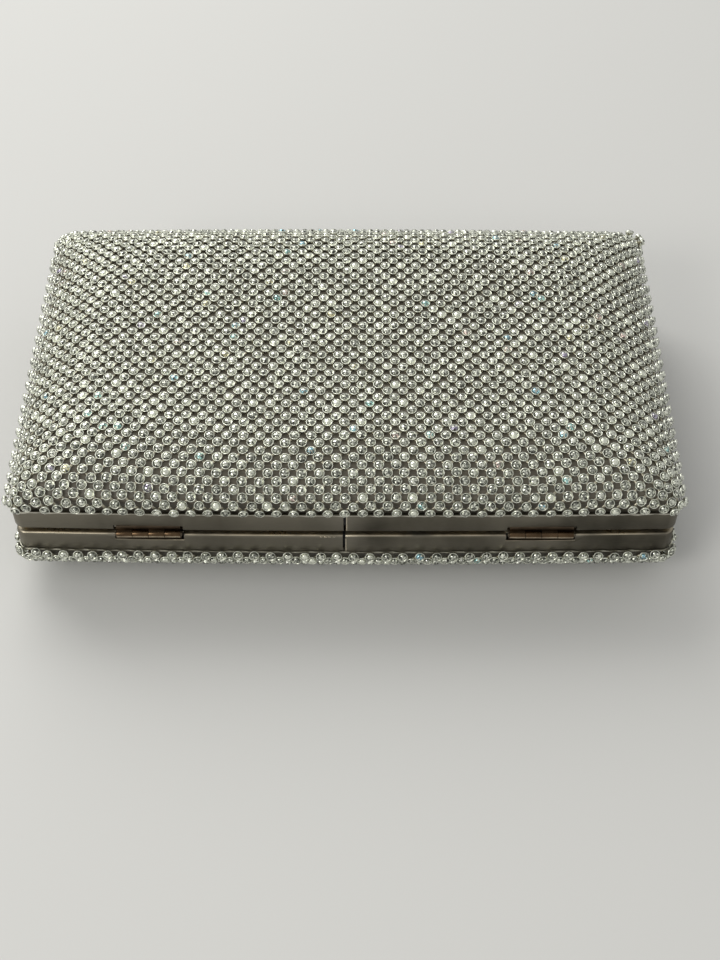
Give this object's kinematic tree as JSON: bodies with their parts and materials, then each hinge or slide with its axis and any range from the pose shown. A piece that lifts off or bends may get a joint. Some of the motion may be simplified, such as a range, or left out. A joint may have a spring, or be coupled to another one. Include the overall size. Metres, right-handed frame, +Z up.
{
  "type": "evening clutch",
  "caption": "Hard box clutch: two domed halves under crystal mesh in slim metal frames, hinged along one long side and closed by a kiss lock.",
  "frame": {"origin": "middle of the flat face that the clutch rests on", "axes": "+X along the hinge line, +Y from the hinges to the clasp, +Z up through the closed clutch"},
  "size_m": [0.2016, 0.1343, 0.0466],
  "materials": {
    "crystal_mesh": "faceted clear stones in silver cups on a grey mesh, sparkling",
    "cover_satin": "grey satin, half gloss",
    "moulded_shell": "moulded, dull",
    "lining_satin": "grey satin, half gloss",
    "frame_metal": "dark gunmetal plating, glossy",
    "lip_metal": "polished pale gold",
    "hinge_brass": "antiqued brass, half gloss",
    "clasp_crystal": "faceted, foil-backed"
  },
  "bodies": {
    "lower_half": {"lower_crystal_mesh": "crystal_mesh", "lower_satin_cover": "cover_satin", "lower_shell": "moulded_shell", "lower_lining": "lining_satin", "lower_frame": "frame_metal", "closing_lip": "lip_metal", "left_hinge_lower_leaf": "hinge_brass", "right_hinge_lower_leaf": "hinge_brass", "left_hinge_pin": "hinge_brass", "right_hinge_pin": "hinge_brass", "lower_clasp_arm": "frame_metal", "lower_clasp_ball": "clasp_crystal", "left_chain_eye": "lip_metal", "right_chain_eye": "lip_metal"},
    "upper_half": {"upper_crystal_mesh": "crystal_mesh", "upper_satin_cover": "cover_satin", "upper_shell": "moulded_shell", "upper_lining": "lining_satin", "upper_frame": "frame_metal", "left_hinge_upper_leaf": "hinge_brass", "right_hinge_upper_leaf": "hinge_brass", "upper_clasp_arm": "frame_metal", "upper_clasp_ball": "clasp_crystal"}
  },
  "joints": [
    {"name": "lid_hinge", "type": "hinge", "parent": "lower_half", "child": "upper_half", "pos_m": [0, -0.06013, 0.0233], "axis": [1, 0, 0], "range_deg": [0, 110]}
  ]
}
